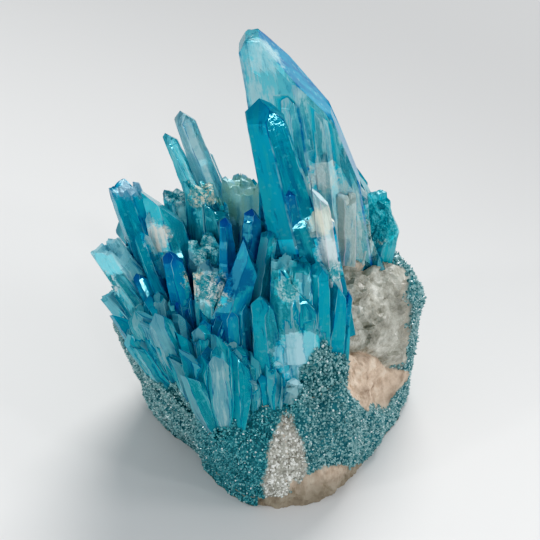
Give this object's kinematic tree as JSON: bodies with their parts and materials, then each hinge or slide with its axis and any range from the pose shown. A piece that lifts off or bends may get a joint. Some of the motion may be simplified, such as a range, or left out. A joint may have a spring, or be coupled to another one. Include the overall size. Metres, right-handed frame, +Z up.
{
  "type": "aqua aura quartz cluster",
  "caption": "Free-standing mineral specimen: blue-coated quartz points fan up from a quartz root on druse-covered host rock, resting on a flat base.",
  "frame": {"origin": "centre of the bounding box's underside, on the flat resting face of the host rock", "axes": "+Z up along the crystals, -Y towards the front, where the crystals run down to the prow, +X to the right"},
  "size_m": [0.0816, 0.0742, 0.1003],
  "materials": {
    "coated_quartz": "glossy clear crystal with a thin blue iridescent coating",
    "root_quartz": "teal druse over milky, fractured quartz",
    "host_rock": "rough pinkish rock with sparkling teal druse"
  },
  "bodies": {
    "root": {"tall_blade": "coated_quartz", "front_spire": "coated_quartz", "leaning_prism": "coated_quartz", "twin_points": "coated_quartz", "left_fan": "coated_quartz", "front_fan": "coated_quartz", "centre_blocks": "coated_quartz", "rear_ridge": "coated_quartz", "back_fan": "coated_quartz", "back_left_fan": "coated_quartz", "quartz_root": "root_quartz", "host_rock": "host_rock"}
  },
  "joints": []
}
